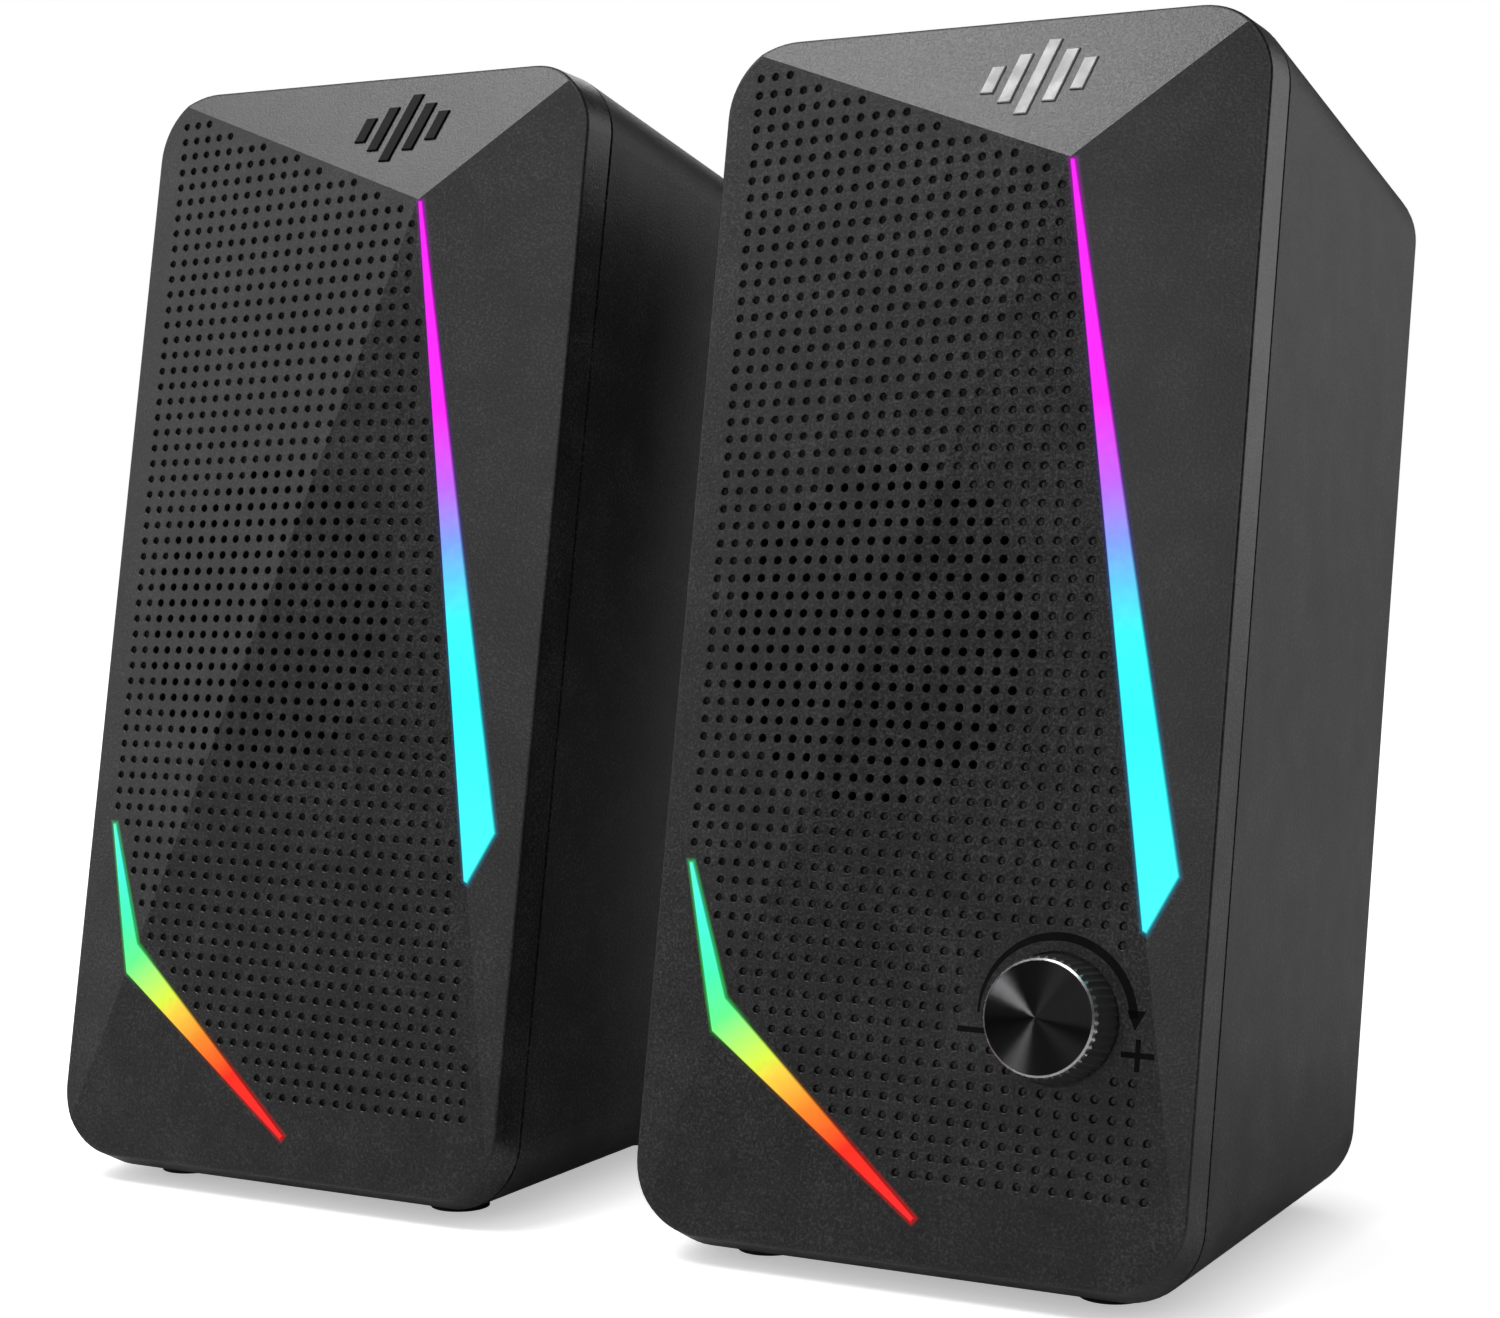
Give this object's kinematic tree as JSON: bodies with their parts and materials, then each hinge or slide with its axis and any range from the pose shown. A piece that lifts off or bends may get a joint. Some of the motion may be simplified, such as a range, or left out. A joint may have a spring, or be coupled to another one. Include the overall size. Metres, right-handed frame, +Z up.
{
  "type": "pair of desktop computer speakers",
  "caption": "Pair of upright desktop computer speakers that lean back, with faceted perforated fronts, coloured light bars and a volume knob.",
  "frame": {"origin": "centre of the pair's bounding box on the desk surface", "axes": "+X along the row from the passive speaker to the active one, +Y from the fronts to the backs, +Z up"},
  "size_m": [0.209, 0.1198, 0.1921],
  "materials": {
    "panel_plastic": "fine matt texture, charcoal",
    "cabinet_plastic": "fine matt texture, charcoal",
    "light_diffuser": "milky diffuser, lit in a run of colours",
    "circuit_board": "green solder mask",
    "led_package": "white package",
    "gasket_rubber": "foam rubber",
    "black_steel": "black coated pressed steel",
    "cone_paper": "treated paper",
    "surround_rubber": "smooth butyl",
    "spider_cloth": "resin-treated cotton",
    "coil_copper": "enamelled winding",
    "plated_steel": "zinc plated",
    "ferrite": "sintered ferrite",
    "screw_steel": "black oxide",
    "wire_insulation": "insulated wire",
    "foot_rubber": "moulded rubber",
    "jack_plastic": "moulded",
    "component_black": "moulded packages",
    "heatsink_aluminium": "extruded",
    "knob_dark_metal": "dark anodised, fine teeth",
    "knob_spun_metal": "dark spun disc with a turned grain",
    "emblem_gloss": "piano black inlay",
    "emblem_silver": "silver grey inlay"
  },
  "bodies": {
    "active_speaker": {"right_amplifier_board": "circuit_board", "right_amplifier_components": "component_black", "right_amplifier_heatsink": "heatsink_aluminium", "right_audio_in_jack": "jack_plastic", "right_board_screws": "screw_steel", "right_cabinet": "cabinet_plastic", "right_case_screws": "screw_steel", "right_driver_basket": "black_steel", "right_driver_gasket": "gasket_rubber", "right_driver_leads": "wire_insulation", "right_driver_magnet": "ferrite", "right_driver_screws": "screw_steel", "right_driver_terminals": "plated_steel", "right_driver_top_plate": "plated_steel", "right_driver_yoke": "plated_steel", "right_emblem_bars": "emblem_silver", "right_front_panel": "panel_plastic", "right_light_leds": "led_package", "right_link_out_jack": "jack_plastic", "right_long_light_board": "circuit_board", "right_long_light_lens": "light_diffuser", "right_power_inlet": "plated_steel", "right_rubber_feet": "foot_rubber", "right_short_light_board": "circuit_board", "right_short_light_lens": "light_diffuser", "right_volume_pot_body": "plated_steel", "right_volume_pot_nut": "plated_steel"},
    "passive_speaker": {"left_cabinet": "cabinet_plastic", "left_case_screws": "screw_steel", "left_driver_basket": "black_steel", "left_driver_gasket": "gasket_rubber", "left_driver_leads": "wire_insulation", "left_driver_magnet": "ferrite", "left_driver_screws": "screw_steel", "left_driver_terminals": "plated_steel", "left_driver_top_plate": "plated_steel", "left_driver_yoke": "plated_steel", "left_emblem_bars": "emblem_gloss", "left_front_panel": "panel_plastic", "left_jack_board": "circuit_board", "left_light_leds": "led_package", "left_link_in_jack": "jack_plastic", "left_long_light_board": "circuit_board", "left_long_light_lens": "light_diffuser", "left_rubber_feet": "foot_rubber", "left_short_light_board": "circuit_board", "left_short_light_lens": "light_diffuser"},
    "volume_knob": {"right_knob_body": "knob_dark_metal", "right_knob_face": "knob_spun_metal", "right_volume_pot_shaft": "heatsink_aluminium"},
    "active_cone": {"right_driver_cone": "cone_paper", "right_driver_dust_cap": "cone_paper", "right_driver_voice_coil": "coil_copper", "right_driver_surround": "surround_rubber", "right_driver_spider": "spider_cloth"},
    "passive_cone": {"left_driver_cone": "cone_paper", "left_driver_dust_cap": "cone_paper", "left_driver_voice_coil": "coil_copper", "left_driver_surround": "surround_rubber", "left_driver_spider": "spider_cloth"}
  },
  "joints": [
    {"name": "volume_turn", "type": "hinge", "parent": "active_speaker", "child": "volume_knob", "pos_m": [0.0823, -0.05147, 0.04319], "axis": [0, 0.9833, -0.1822], "range_deg": [-150, 150]},
    {"name": "active_cone_travel", "type": "slide", "parent": "active_speaker", "child": "active_cone", "axis": [0, -0.9833, 0.1822], "range_m": [-0.0018, 0.0018], "stiffness_N_per_m": 900, "deforming": ["right_driver_surround", "right_driver_spider"]},
    {"name": "passive_cone_travel", "type": "slide", "parent": "passive_speaker", "child": "passive_cone", "axis": [0, -0.9833, 0.1822], "range_m": [-0.0018, 0.0018], "stiffness_N_per_m": 900, "deforming": ["left_driver_surround", "left_driver_spider"]},
    {"name": "passive_placement", "type": "slide", "parent": "active_speaker", "child": "passive_speaker", "axis": [1, 0, 0], "range_m": [-0.4, 0.02]}
  ]
}
